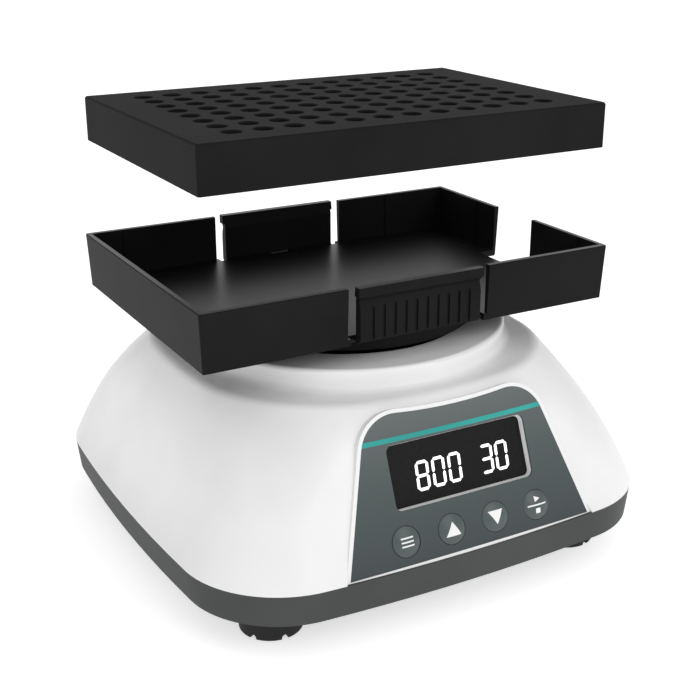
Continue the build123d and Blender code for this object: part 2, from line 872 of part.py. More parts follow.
def make_drive_plate():
    """The round plate under the tray with four hanging bearing bosses, about its own centre."""
    plate = rod(plate_radius, plate_z, tray_z)
    seats = [(0, 0, crank_bearing_size, plate_boss_wall)]
    for angle in idler_angles:
        x, y = polar(idler_circle, angle)
        seats.append((x, y, idler_bearing_size, idler_boss_wall))
    for x, y, size, thickness in seats:
        plate += rod(size[1] + thickness, boss_z, plate_z + 1, x, y)
    for x, y, size, thickness in seats:
        plate -= rod(size[1], bearing_z, tray_z + 1, x, y)
        plate -= rod(size[1] - bearing_shoulder, boss_z - 1, bearing_z, x, y)
    for x, y in tray_screw_places():
        plate -= rod(m3[0] + screw_play, plate_z - 1, tray_z + 1, x, y)
    return plate


def tray_screw_places():
    """Where the screws from the drive plate into the tray lie."""
    step = 360 / idler_count
    return [polar(tray_screw_circle, tray_screw_angle + step * i) for i in range(idler_count)]


def drafted_box(length, depth, corner, low, high):
    """The tray's outside: full size at the rim and smaller by the draft at the bottom."""
    bottom = RectangleRounded(length - 2 * tray_draft, depth - 2 * tray_draft, corner - tray_draft / 2)
    top = RectangleRounded(length, depth, corner)
    return loft([Pos(0, 0, low) * bottom, Pos(0, 0, high) * top])


def make_tray():
    """The open tray, about its own centre."""
    inner_x = seat_x + pad_step
    inner_y = seat_y + pad_step
    tray = drafted_box(tray_length, tray_depth, tray_corner, tray_z, rim_z)
    rim = tray.edges().filter_by(lambda e: e.center().Z > rim_z - 0.01)
    tray = fillet(rim, tray_rim_edge)
    hollow = extrude(RectangleRounded(2 * inner_x, 2 * inner_y, tray_corner / 2), tray_height)
    tray -= Pos(0, 0, seat_z) * hollow

    for x, y in corners(1, 1):
        side = (seat_x, inner_x + 0.5) if x > 0 else (-inner_x - 0.5, -seat_x)
        end = (seat_y, inner_y + 0.5) if y > 0 else (-inner_y - 0.5, -seat_y)
        at_y = y * pad_offset_y
        at_x = x * pad_offset_x
        tray += brick(*side, at_y - pad_length / 2, at_y + pad_length / 2, seat_z - 0.5, rim_z - tray_rim_edge)
        tray += brick(at_x - pad_length / 2, at_x + pad_length / 2, *end, seat_z - 0.5, rim_z - tray_rim_edge)
        slit_x = x * (seat_x - slit_inset)
        tray -= brick(slit_x - slit_width / 2, slit_x + slit_width / 2, at_y - slit_length / 2,
                      at_y + slit_length / 2, tray_z - 1, seat_z + 1)

    notch_y = clip_inner - hinge_barrel - hinge_clear
    notch_x = clip_half + hinge_end_gap
    for sign in (-1, 1):
        floor_reach = sorted((sign * notch_y, sign * tray_depth))
        wall_reach = sorted((sign * (seat_y - pad_step), sign * tray_depth))
        tray -= brick(-notch_x, notch_x, *floor_reach, tray_z - 1, rim_z + 1)
        tray -= brick(-window_half, window_half, *wall_reach, seat_z, rim_z + 1)
        pin = rod(hinge_pin_radius, -pin_half(), pin_half())
        tray -= Pos(0, sign * clip_inner, tray_z + hinge_height) * Rot(0, 90, 0) * pin

    tray -= brick(seat_x, tray_length, -side_gap_half, side_gap_half, tray_z - 1, rim_z + 1)
    tray -= brick(seat_x - side_notch_reach, tray_length, -side_notch_half, side_notch_half,
                  tray_z - 1, seat_z + 1)
    for x, y in tray_screw_places():
        tray -= rod(m3[0] + thread_play, tray_z - 1, tray_z + tray_screw_depth + tray_bore_end, x, y)
    return tray


def pin_half():
    """Half the length of a clip's hinge pin."""
    return window_half + hinge_pin_grip


def make_clip():
    """The front clip: hinge barrel, ribbed grip, neck and flared lip, about the tray's centre."""
    lip_low = tray_height - clip_lip_height
    section = Polyline(
        (0, clip_foot_z),
        (0, clip_neck_top),
        (clip_lip_in, tray_height),
        (clip_lip_out, tray_height),
        (clip_lip_out, lip_low),
        (clip_neck_out, clip_neck_top),
        (clip_grip_out - clip_grip_bevel, clip_grip_top),
        (clip_grip_out, clip_grip_top - clip_grip_taper),
        (clip_grip_out, clip_foot_z + clip_foot_rise),
        (clip_grip_out - clip_foot_bevel, clip_foot_z),
        (0, clip_foot_z),
    )
    # The section's plane has outward as its x and up as its y.
    side = Plane(origin=(0, -clip_inner, tray_z), x_dir=(0, -1, 0), z_dir=(-1, 0, 0))
    body = side * extrude(make_face(section.edges()), clip_half, both=True)
    wide = Polyline(
        (clip_lip_in, tray_height),
        (clip_lip_out, tray_height),
        (clip_lip_out, lip_low),
        (clip_lip_in / 2, lip_low),
        (clip_lip_in, tray_height),
    )
    body += side * extrude(make_face(wide.edges()), clip_half + lip_overhang, both=True)
    for i in range(rib_count):
        x = rib_pitch * (i - (rib_count - 1) / 2)
        y = -clip_inner - clip_grip_out
        body -= brick(x - rib_width / 2, x + rib_width / 2, y - 1, y + rib_depth, tray_z - 1,
                      tray_z + clip_grip_top)
    axis = Pos(0, -clip_inner, tray_z + hinge_height) * Rot(0, 90, 0)
    body += axis * rod(hinge_barrel, -clip_half, clip_half)
    body -= axis * rod(spring_middle() + spring_wire + spring_room, -spring_half, spring_half)
    return body - axis * rod(hinge_pin_radius + run_play, -clip_half - 1, clip_half + 1)


def spring_middle():
    """The radius of the clip springs' coils, to the wire's middle."""
    return hinge_pin_radius + spring_wire + spring_pin_gap


def make_clip_pins(place):
    """The two steel hinge pins of the clips."""
    pins = []
    for sign in (-1, 1):
        hinge = Pos(0, sign * clip_inner, tray_z + hinge_height) * Rot(0, 90, 0)
        reach = pin_half() - hinge_pin_end
        pins.append(hinge * rod(hinge_pin_radius - hinge_pin_play, -reach, reach))
    return many(pins, place)


def make_clip_springs(place):
    """The clips' torsion springs, coiled round the pins in the middle of the clips."""
    height = 2 * (spring_half - spring_wire - spring_end_gap)
    coil_path = Helix(height / spring_turns, height, spring_middle())
    profile = Plane(origin=coil_path @ 0, z_dir=coil_path % 0) * Circle(spring_wire)
    coil = sweep(profile, coil_path)
    springs = []
    for sign in (-1, 1):
        hinge = Pos(0, sign * clip_inner, tray_z + hinge_height) * Rot(0, 90 * sign, 0)
        springs.append(hinge * (Pos(0, 0, -height / 2) * coil))
    return many(springs, place)


def make_tube_block():
    """The drilled metal block in microplate outline, about its own centre."""
    block = extrude(RectangleRounded(plate_length, plate_depth, block_corner), block_height)
    edges = block.edges().filter_by(lambda e: e.center().Z > block_height - 0.01)
    block = chamfer(edges, block_edge)
    tip = well_radius * well_tip
    profile = Polyline(
        (0, block_height - well_depth - tip),
        (well_radius, block_height - well_depth),
        (well_radius, block_height - well_chamfer),
        (well_radius + well_chamfer + 0.1, block_height + 0.1),
        (0, block_height + 0.1),
        (0, block_height - well_depth - tip),
    )
    well = revolve(Plane.XZ * make_face(profile.edges()), Axis.Z)
    wells = GridLocations(well_pitch, well_pitch, well_columns, well_rows)
    block -= [place * well for place in wells]
    return Pos(0, 0, block_z) * block


def make_main_board():
    """The main circuit board."""
    board = brick(*board_x, -board_half_y, board_half_y, board_top - board_thickness, board_top)
    for x, y in board_corners():
        board -= rod(m2[0] + screw_play, floor_z, board_top + 1, x, y)
    return board


def make_board_parts():
    """Chips, capacitors and sockets that stand on the main board."""
    left = board_x[0]
    parts = []
    for x, y, length, width, height in chips:
        parts.append(Pos(left + x, y, board_top + height / 2) * Box(length, width, height))
    for x, y, radius, height in capacitors:
        parts.append(rod(radius, board_top, board_top + height, left + x, y))
    for limits in (ribbon_limits(), motor_socket(), jack_socket()):
        parts.append(brick(*limits, board_top, board_top + socket_height))
    return many(parts)


def socket_middle():
    """The level at which wires leave the sockets."""
    return board_top + socket_height / 2


def ribbon_limits():
    """Limits in x and y of the ribbon's socket on the main board."""
    half = ribbon_width / 2
    return (ribbon_x - half, ribbon_x + half, ribbon_end_y(), ribbon_end_y() + socket_size_xy)


def ribbon_end_y():
    """Where the ribbon meets its socket on the main board."""
    return board_inset * 2 - board_half_y


def motor_socket():
    """Limits in x and y of the motor's socket on the main board."""
    right = board_x[1] - socket_inset
    return (right - socket_size_xy, right, -socket_size_xy / 2, socket_size_xy / 2)


def jack_socket():
    """Limits in x and y of the supply socket on the main board."""
    half = socket_size_xy / 2
    end = board_half_y - 2 * board_inset
    return (jack_socket_x - half, jack_socket_x + half, end - socket_size_xy, end)


def make_board_screws():
    """Four small screws through the main board into the floor's posts."""
    tip = board_top - board_screw_length
    return many([screw(m2, board_screw_length, tip, x, y, up=False) for x, y in board_corners()])


def jack_place():
    """The supply socket's frame: its axis runs out through the back."""
    return Pos(0, jack_recess, shell_z + jack_height) * Rot(-90, 0, 0)


def make_power_jack():
    """The round panel-mounted supply socket with its centre pin."""
    body = rod(jack_flange, 0, jack_flange_thickness) + rod(jack_barrel, -jack_length, 0)
    body -= rod(jack_bore, jack_flange_thickness - jack_bore_depth, jack_flange_thickness + 1)
    floor_level = jack_flange_thickness - jack_bore_depth
    body += rod(jack_pin_radius, floor_level - 0.5, floor_level + jack_pin_length)
    return jack_place() * body


def make_jack_nut():
    """The nut that clamps the supply socket inside the shell."""
    nut = extrude(RegularPolygon(jack_nut_flats / 2, 6, major_radius=False), -jack_nut_thickness)
    nut = Pos(0, 0, -jack_wall) * nut
    return jack_place() * (nut - rod(jack_barrel + thread_play, -jack_wall - jack_nut_thickness - 1, 1))


def make_ribbon():
    """The flat ribbon from the key board to the main board."""
    depth = board_depth() + key_board_thickness + ribbon_socket
    start = panel_face.from_local_coords((ribbon_x, key_row, -depth))
    end_z = socket_middle()
    half = ribbon_thickness / 2
    route = FilletPolyline(
        (start.Y + half, start.Z),
        (start.Y + ribbon_drop[0], start.Z - ribbon_drop[1]),
        (start.Y + ribbon_rise[0], start.Z + ribbon_rise[1]),
        (ribbon_end_y() - ribbon_run, end_z),
        (ribbon_end_y(), end_z),
        radius=ribbon_bend,
    )
    strip = trace(route, ribbon_thickness)
    return Pos(ribbon_x - ribbon_width / 2, 0, 0) * extrude(Plane.YZ * strip, ribbon_width)


def cable(points, radii):
    """A round cable along straight runs joined by tangent arcs."""
    route = FilletPolyline(*points, radius=radii)
    start = Plane(origin=route @ 0, z_dir=route % 0)
    return sweep(start * Circle(cable_radius), route)


def make_motor_cable():
    """The motor's lead bundle to the main board."""
    start = motor_socket()[1]
    return Pos(0, 0, socket_middle()) * (Rot(0, 90, 0) * rod(cable_radius, start, -motor_radius))


def make_jack_cable():
    """The supply leads from the socket to the main board."""
    level = socket_middle()
    x = jack_socket_x
    y1 = jack_socket()[3]
    back_y = jack_recess - jack_length
    back_z = shell_z + jack_height
    points = [
        (x, y1, level),
        (x, y1 + jack_cable_lead, level),
        (x + jack_cable_turn[0], back_y - jack_cable_turn[1], level + jack_cable_turn[2]),
        (0, back_y - jack_cable_lead, back_z),
        (0, back_y, back_z),
    ]
    return cable(points, list(jack_cable_bends))


def build():
    """Every node by name."""
    carried = Pos(crank_x, crank_y, 0)
    tray_spin = Rot(0, 0, 180)
    pieces = {
        "base_casing": make_base_casing(),
        "top_shell": make_top_shell(),
        "panel_overlay": make_panel_overlay(),
        "display_window": make_display_window(),
        "display_module": make_display_module(),
        "key_board": make_key_board(),
        "key_switches": make_key_switches(),
        "key_board_screws": make_key_board_screws(),
        "deck_posts": make_deck_posts(),
        "deck_plate": make_deck_plate(),
        "motor_can": make_motor_can(),
        "motor_end_cap": make_motor_end_cap(),
        "motor_stator": make_motor_stator(),
        "motor_rotor": make_motor_rotor(),
        "motor_shaft": make_motor_shaft(),
        "eccentric_hub": make_eccentric_hub(),
        "counterweight": make_counterweight(),
        "counterweight_screws": make_counterweight_screws(),
        "hub_set_screw": set_screw_solid(m4[0], hub_radius - set_screw_sink),
        "main_board": make_main_board(),
        "board_parts": make_board_parts(),
        "board_screws": make_board_screws(),
        "power_jack": make_power_jack(),
        "jack_nut": make_jack_nut(),
        "panel_ribbon": make_ribbon(),
        "motor_cable": make_motor_cable(),
        "jack_cable": make_jack_cable(),
        "drive_plate": carried * make_drive_plate(),
        "tray": carried * make_tray(),
        "front_clip": carried * make_clip(),
        "rear_clip": carried * (tray_spin * make_clip()),
        "clip_pins": make_clip_pins(carried),
        "clip_springs": make_clip_springs(carried),
        "tube_block": carried * make_tube_block(),
    }
    pieces["crank_bearing"] = bearing(crank_bearing_size, bearing_z, crank_x, crank_y)
    level = bearing_z + crank_bearing_size[2] + clip_gap
    pieces["crank_clip"] = carried * retaining_clip(crank_pin_radius, level)
    lower = []
    upper = []
    for number, angle in enumerate(idler_angles, 1):
        x, y = polar(idler_circle, angle)
        lower.append(bearing(idler_bearing_size, deck_top - idler_bearing_size[2], x, y))
        upper.append(bearing(idler_bearing_size, bearing_z, x + crank_x, y + crank_y))
        pieces[f"idler_crank_{number}"] = make_idler(angle)
        pieces[f"idler_clip_{number}"] = make_idler_clip(angle)
    pieces["idler_bearings"] = many(lower)
    pieces["platform_bearings"] = many(upper)

    foot_names = ("foot_front_left", "foot_front_right", "foot_rear_right", "foot_rear_left")
    for name, (x, y), turn in zip(foot_names, corners(foot_place, foot_place), foot_turns):
        pieces[name] = make_foot(x, y, turn)
    for name, x in zip(key_names, key_places()):
        pieces[f"key_{name}"] = make_key(x)

    tip = foot_seat + foot_screw_length
    pieces["foot_screws"] = many([screw(m4, foot_screw_length, tip, x, y)
                                  for x, y in corners(foot_place, foot_place)])
    pieces["casing_screws"] = many([screw(m3, casing_screw_length, casing_screw_tip(), x, y)
                                    for x, y in corners(shell_boss_x, shell_boss_y)])
    pieces["post_screws"] = many([screw(m3, post_screw_length, skirt_z + post_screw_length, x, y)
                                  for x, y in corners(post_place, post_place)])
    pieces["deck_screws"] = many([screw(m3, deck_screw_length, deck_top - deck_screw_length, x, y, up=False)
                                  for x, y in corners(post_place, post_place)])
    circle = [polar(motor_screw_circle, 45 + 90 * i) for i in range(4)]
    pieces["motor_screws"] = many([screw(m3, motor_screw_length, deck_top - motor_screw_length, x, y, up=False)
                                   for x, y in circle])
    length = plate_thickness + tray_screw_depth
    pieces["tray_screws"] = many([screw(m3, length, tray_z + tray_screw_depth, x, y)
                                  for x, y in tray_screw_places()], carried)
    return pieces


os.makedirs("parts", exist_ok=True)
pieces = build()
for name, shape in pieces.items():
    export_step(shape, f"parts/{name}.step")
print(len(pieces), "nodes")
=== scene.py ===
import json
import math

import bmesh
import bpy
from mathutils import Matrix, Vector


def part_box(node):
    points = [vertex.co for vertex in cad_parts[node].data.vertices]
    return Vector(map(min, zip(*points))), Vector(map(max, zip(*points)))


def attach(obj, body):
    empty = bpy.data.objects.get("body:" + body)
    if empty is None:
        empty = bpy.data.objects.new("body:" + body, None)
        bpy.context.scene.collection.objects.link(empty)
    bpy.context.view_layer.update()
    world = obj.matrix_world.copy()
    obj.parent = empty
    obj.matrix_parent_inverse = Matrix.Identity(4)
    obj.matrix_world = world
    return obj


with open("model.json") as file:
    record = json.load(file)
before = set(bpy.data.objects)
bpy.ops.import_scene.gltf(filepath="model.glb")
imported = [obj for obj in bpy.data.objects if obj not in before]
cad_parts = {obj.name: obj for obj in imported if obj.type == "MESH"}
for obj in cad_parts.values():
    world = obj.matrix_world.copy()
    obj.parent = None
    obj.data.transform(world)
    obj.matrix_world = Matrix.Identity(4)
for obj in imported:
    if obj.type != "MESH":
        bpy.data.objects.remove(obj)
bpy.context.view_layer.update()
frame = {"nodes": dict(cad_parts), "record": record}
nodes = frame["nodes"]
MM = 0.001

# The panel's plane and its printed sheet; v runs up the slope from the sheet's foot
panel_tilt = math.radians(68)
panel_middle = 1.4 * MM
panel_bow = 595 * MM
sheet_thickness = 0.6 * MM
sheet_foot_half = 39.5 * MM
sheet_top_half = 26.9 * MM
sheet_height = 41.9 * MM
print_lift = 0.06 * MM
lens_depth = 2.5 * MM

# The teal stripe
stripe_v = 34.05 * MM
stripe_width = 1.35 * MM
stripe_dip = 0.3 * MM
stripe_steps = 24

# Display figures, each with its left end across the panel
digit_height = 8.2 * MM
digit_width = 4.2 * MM
digit_stroke = 0.82 * MM
digit_gap = 0.12 * MM
digit_slant = math.radians(3)
digit_foot = 18.15 * MM
digits = (("8", -12.6), ("0", -7.35), ("0", -2.1), ("3", 8.65), ("0", 13.7))

# Keys and their marks, measured from each key's middle
key_radius = 4.2 * MM
key_dome = 0.9 * MM
key_row = 6.4 * MM
mark_rows = 6
mark_columns = 8
mark_stroke = 0.42 * MM
mark_tip = 0.03 * MM
menu_half = 1.9 * MM
menu_pitch = 1.1 * MM
arrow_half = 2.4 * MM
arrow_foot = 1.85 * MM
arrow_tip = 2.05 * MM
start_bar_half = 3.1 * MM
start_sign_half = 0.85 * MM
start_sign_left = -0.7 * MM
start_sign_right = 1.1 * MM
start_sign_v = 1.75 * MM
stop_sign_half = 0.75 * MM
stop_sign_low = -2.4 * MM
stop_sign_high = -0.95 * MM

# Painted sheen on the tray's and clips' up-facing faces: a lighter, smoother, metallic finish there that
# stands in for reflected light
painted_sheen_facing = 0.9
painted_sheen_colour = (0.085, 0.085, 0.085, 1)
painted_sheen_rough = 0.33

# Studio: strengths, lights in metres, and what they look at
surround_strength = 0.72
floor_size = 8
floor_glow = 0.58
light_target = (0, 0, 0.05)
lights = (
    {"name": "key", "place": (0.45, -1.2, 0.9), "size": 0.9, "power": 5},
    {"name": "side", "place": (-0.9, -0.9, 0.5), "size": 0.8, "power": 1.2},
)

# Camera, from the photograph's vanishing lines and the block's corners
camera_place = Vector((-174.9, -314.5, 190.1)) * MM
camera_yaw = math.radians(29.48)
camera_pitch = math.radians(20.61)
camera_lens = 62.9
camera_sensor = 36.0
camera_near = 0.01
camera_far = 20


def link(obj):
    """Put a new object into the scene."""
    bpy.context.scene.collection.objects.link(obj)
    return obj


def make_camera():
    """The camera at the photograph's viewing angle."""
    data = bpy.data.cameras.new("camera")
    data.lens = camera_lens
    data.sensor_width = camera_sensor
    data.clip_start = camera_near
    data.clip_end = camera_far
    camera = link(bpy.data.objects.new("camera", data))
    camera.location = camera_place
    forward = Vector((math.sin(camera_yaw) * math.cos(camera_pitch),
                      math.cos(camera_yaw) * math.cos(camera_pitch),
                      -math.sin(camera_pitch)))
    camera.rotation_mode = "QUATERNION"
    camera.rotation_quaternion = forward.to_track_quat("-Z", "Y")
    bpy.context.scene.camera = camera


def area_light(name, place, size, power):
    """A square soft light that looks at the part."""
    data = bpy.data.lights.new(name, "AREA")
    data.shape = "SQUARE"
    data.size = size
    data.energy = power
    light = link(bpy.data.objects.new(name, data))
    light.location = place
    light.rotation_mode = "QUATERNION"
    light.rotation_quaternion = (Vector(light_target) - Vector(place)).to_track_quat("-Z", "Y")


def node_setup(name):
    """A new node material with its tree and its surface shader."""
    material = bpy.data.materials.new(name)
    material.use_nodes = True
    tree = material.node_tree
    return material, tree, tree.nodes["Principled BSDF"]


def object_noise(tree, scale, detail=2.0, roughness=0.5):
    """A noise in the object's own metres."""
    place = tree.nodes.new("ShaderNodeTexCoord")
    noise = tree.nodes.new("ShaderNodeTexNoise")
    noise.inputs["Scale"].default_value = scale
    noise.inputs["Detail"].default_value = detail
    noise.inputs["Roughness"].default_value = roughness
    tree.links.new(place.outputs["Object"], noise.inputs["Vector"])
    return noise


def ramp(tree, source, stops):
    """A colour ramp over a value, from (position, colour) stops."""
    node = tree.nodes.new("ShaderNodeValToRGB")
    elements = node.color_ramp.elements
    elements[0].position, elements[0].color = stops[0][0], (*stops[0][1], 1)
    elements[1].position, elements[1].color = stops[-1][0], (*stops[-1][1], 1)
    for position, colour in stops[1:-1]:
        elements.new(position).color = (*colour, 1)
    tree.links.new(source, node.inputs["Fac"])
    return node.outputs["Color"]


def span(tree, source, low, high):
    """A value from 0..1 mapped to low..high."""
    node = tree.nodes.new("ShaderNodeMapRange")
    node.inputs["To Min"].default_value = low
    node.inputs["To Max"].default_value = high
    tree.links.new(source, node.inputs["Value"])
    return node.outputs["Result"]


def bump(tree, shader, source, strength, distance):
    """Relief from a value."""
    node = tree.nodes.new("ShaderNodeBump")
    node.inputs["Strength"].default_value = strength
    node.inputs["Distance"].default_value = distance
    tree.links.new(source, node.inputs["Height"])
    tree.links.new(node.outputs["Normal"], shader.inputs["Normal"])


def grey(value):
    """A neutral colour."""
    return (value, value, value)


def moulded(name, dark, light, rough, grain, relief, specular=0.5, coat=0.0, coat_rough=0.1):
    """Moulded plastic or rubber: slow colour drift, fine grain and uneven gloss."""
    material, tree, shader = node_setup(name)
    drift = object_noise(tree, 40, 3)
    tree.links.new(ramp(tree, drift.outputs["Fac"], [(0.35, dark), (0.65, light)]),
                   shader.inputs["Base Color"])
    texture = object_noise(tree, grain, 4, 0.6)
    tree.links.new(span(tree, texture.outputs["Fac"], *rough), shader.inputs["Roughness"])
    bump(tree, shader, texture.outputs["Fac"], relief, 0.0001)
    shader.inputs["Specular IOR Level"].default_value = specular
    shader.inputs["Coat Weight"].default_value = coat
    shader.inputs["Coat Roughness"].default_value = coat_rough
    return material


def metal(name, dark, light, rough, grain):
    """Bare or plated metal with a fine uneven finish."""
    material, tree, shader = node_setup(name)
    texture = object_noise(tree, grain, 5, 0.6)
    tree.links.new(ramp(tree, texture.outputs["Fac"], [(0.3, dark), (0.7, light)]),
                   shader.inputs["Base Color"])
    tree.links.new(span(tree, texture.outputs["Fac"], *rough), shader.inputs["Roughness"])
    bump(tree, shader, texture.outputs["Fac"], 0.15, 0.00005)
    shader.inputs["Metallic"].default_value = 1.0
    return material


def lit_material():
    """The display's lit figures, slightly uneven."""
    material, tree, shader = node_setup("lit figures")
    texture = object_noise(tree, 600, 2)
    shade = ramp(tree, texture.outputs["Fac"], [(0.2, grey(0.855)), (0.8, grey(0.95))])
    tree.links.new(shade, shader.inputs["Base Color"])
    tree.links.new(shade, shader.inputs["Emission Color"])
    shader.inputs["Emission Strength"].default_value = 1.0
    shader.inputs["Roughness"].default_value = 0.5
    return material


def panel_material():
    """The printed sheet with painted shading: lighter at the top, darker at the foot, with a fine satin
    grain.
    """
    material, tree, shader = node_setup("panel print with painted shading")
    place = tree.nodes.new("ShaderNodeTexCoord")
    split = tree.nodes.new("ShaderNodeSeparateXYZ")
    tree.links.new(place.outputs["Object"], split.inputs["Vector"])
    level = tree.nodes.new("ShaderNodeMapRange")
    level.inputs["From Min"].default_value = sheet_low.z
    level.inputs["From Max"].default_value = sheet_high.z
    tree.links.new(split.outputs["Z"], level.inputs["Value"])
    # Painted shading: the sheet's colour goes by height, darker at the foot and lighter at the top
    foot, middle, top = (0.044, 0.056, 0.058), (0.066, 0.084, 0.085), (0.115, 0.130, 0.131)
    shade = ramp(tree, level.outputs["Result"], [(0.0, foot), (0.55, middle), (1.0, top)])
    tree.links.new(shade, shader.inputs["Base Color"])
    texture = object_noise(tree, 3000, 3)
    tree.links.new(span(tree, texture.outputs["Fac"], 0.42, 0.55), shader.inputs["Roughness"])
    bump(tree, shader, texture.outputs["Fac"], 0.12, 0.00005)
    shader.inputs["Specular IOR Level"].default_value = 0.3
    return material


def painted_sheen_mix(tree, shader, name, kind, mask, value):
    """Give one of the shader's inputs another value where the mask is 1."""
    mix = tree.nodes.new("ShaderNodeMix")
    mix.data_type = kind
    socket_type = "RGBA" if kind == "RGBA" else "VALUE"
    first, second = [socket for socket in mix.inputs if socket.type == socket_type][-2:]
    result = [socket for socket in mix.outputs if socket.type == socket_type][0]
    tree.links.new(mask, mix.inputs["Factor"])
    tree.links.new(shader.inputs[name].links[0].from_socket, first)
    second.default_value = value
    tree.links.new(result, shader.inputs[name])


def tray_material():
    """The tray's dark moulding, with a painted sheen on its up-facing faces: lighter, smoother and metallic
    there.
    """
    material = moulded("tray moulding with painted sheen", grey(0.007), grey(0.010), (0.44, 0.54), 2500, 0.10,
                       specular=0.07)
    tree = material.node_tree
    shader = tree.nodes["Principled BSDF"]
    place = tree.nodes.new("ShaderNodeTexCoord")
    facing = tree.nodes.new("ShaderNodeSeparateXYZ")
    tree.links.new(place.outputs["Normal"], facing.inputs["Vector"])
    upward = tree.nodes.new("ShaderNodeMath")
    upward.operation = "GREATER_THAN"
    upward.inputs[1].default_value = painted_sheen_facing
    tree.links.new(facing.outputs["Z"], upward.inputs[0])
    mask = upward.outputs["Value"]
    # Painted sheen: faces that point up get a lighter colour, lower roughness and full metallic
    painted_sheen_mix(tree, shader, "Base Color", "RGBA", mask, painted_sheen_colour)
    painted_sheen_mix(tree, shader, "Roughness", "FLOAT", mask, painted_sheen_rough)
    tree.links.new(mask, shader.inputs["Metallic"])
    return material


def lens_material():
    """The smoked window, nearly black, with faint dust in its gloss."""
    material, tree, shader = node_setup("smoked window")
    texture = object_noise(tree, 900, 3)
    tree.links.new(ramp(tree, texture.outputs["Fac"], [(0.3, grey(0.008)), (0.7, grey(0.010))]),
                   shader.inputs["Base Color"])
    tree.links.new(span(tree, texture.outputs["Fac"], 0.25, 0.32), shader.inputs["Roughness"])
    shader.inputs["Specular IOR Level"].default_value = 0.12
    return material


def floor_material():
    """The pale floor, with a little glow of its own that keeps its shadows soft."""
    material, tree, shader = node_setup("floor")
    texture = object_noise(tree, 3, 2)
    tree.links.new(ramp(tree, texture.outputs["Fac"], [(0.3, grey(0.79)), (0.7, grey(0.81))]),
                   shader.inputs["Base Color"])
    shader.inputs["Roughness"].default_value = 0.9
    shader.inputs["Specular IOR Level"].default_value = 0.0
    shader.inputs["Emission Color"].default_value = (1, 1, 1, 1)
    shader.inputs["Emission Strength"].default_value = floor_glow
    return material


def make_stage():
    """Pale floor, white surroundings and soft studio lights."""
    bpy.ops.mesh.primitive_plane_add(size=floor_size, location=(0, 0, 0))
    floor = bpy.context.object
    floor.name = "floor"
    floor.data.materials.append(floor_material())
    world = bpy.data.worlds.new("studio")
    bpy.context.scene.world = world
    world.use_nodes = True
    background = world.node_tree.nodes["Background"]
    background.inputs["Color"].default_value = (1, 1, 1, 1)
    background.inputs["Strength"].default_value = surround_strength
    for light in lights:
        area_light(**light)
    bpy.context.scene.view_settings.view_transform = "Standard"


def bow(x, depth=0.0):
    """How far the bowed panel face, or a face at a depth behind it, lies behind the panel's plane at x."""
    return panel_bow - math.sqrt((panel_bow - depth) ** 2 - x * x)


# The panel's directions, and the middle of the sheet's foot on the panel's plane
panel_across = Vector((1, 0, 0))
panel_up = Vector((0, math.cos(panel_tilt), math.sin(panel_tilt)))
panel_out = Vector((0, -math.sin(panel_tilt), math.cos(panel_tilt)))
sheet_low, sheet_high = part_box("panel_overlay")
sheet_back = bow(sheet_high.x, sheet_thickness)
panel_foot = Vector((0, sheet_low.y, sheet_low.z + sheet_back * math.cos(panel_tilt)))


def on_plane(x, v, out):
    """A point given across and up the panel's plane, and out from it."""
    return panel_foot + x * panel_across + v * panel_up + out * panel_out


def on_panel(x, v, out):
    """A point given across and up the bowed panel, and out from its face."""
    return on_plane(x, v, out - bow(x))


def sheet_half(v):
    """Half the sheet's width at a height up the slope."""
    return sheet_foot_half + (sheet_top_half - sheet_foot_half) * v / sheet_height


def flat_piece(name, outlines, place, material):
    """Thin raised shapes from outlines of (x, v) points; outlines that meet share their edges."""
    bm = bmesh.new()
    corners = {}
    sides = {}
    for outline in outlines:
        keys = [(round(x, 7), round(v, 7)) for x, v in outline]
        for key, (x, v) in zip(keys, outline):
            if key not in corners:
                corners[key] = (bm.verts.new(place(x, v, print_lift)), bm.verts.new(place(x, v, 0)))
        bm.faces.new([corners[key][0] for key in keys])
        bm.faces.new([corners[key][1] for key in reversed(keys)])
        for pair in zip(keys, keys[1:] + keys[:1]):
            sides.setdefault(frozenset(pair), []).append(pair)
    for pairs in sides.values():
        if len(pairs) == 1:
            (start_top, start_low), (end_top, end_low) = (corners[key] for key in pairs[0])
            bm.faces.new((end_top, start_top, start_low, end_low))
    bmesh.ops.recalc_face_normals(bm, faces=bm.faces)
    mesh = bpy.data.meshes.new(name)
    bm.to_mesh(mesh)
    bm.free()
    mesh.materials.append(material)
    return link(bpy.data.objects.new(name, mesh))


def make_stripe(material):
    """The teal stripe across the panel, dipped a little like the sheet's top edge."""
    upper = []
    lower = []
    for i in range(stripe_steps + 1):
        share = 2 * i / stripe_steps - 1
        dip = stripe_dip * (1 - share**2)
        for row, side in ((upper, 1), (lower, -1)):
            v = stripe_v + side * stripe_width / 2 - dip
            row.append((panel_middle + share * sheet_half(v), v))
    cells = [[lower[i], lower[i + 1], upper[i + 1], upper[i]] for i in range(stripe_steps)]
    stripe = flat_piece("panel_stripe", cells, on_panel, material)
    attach(stripe, "base")


def segment(x0, v0, x1, v1):
    """One bar of a figure with pointed ends, between two joints."""
    along = Vector((x1 - x0, v1 - v0)).normalized()
    side = Vector((-along.y, along.x)) * digit_stroke / 2
    start = Vector((x0, v0)) + along * digit_gap
    end = Vector((x1, v1)) - along * digit_gap
    tip = along * digit_stroke / 2
    return [start, start + tip + side, end - tip + side, end, end - tip - side, start + tip - side]


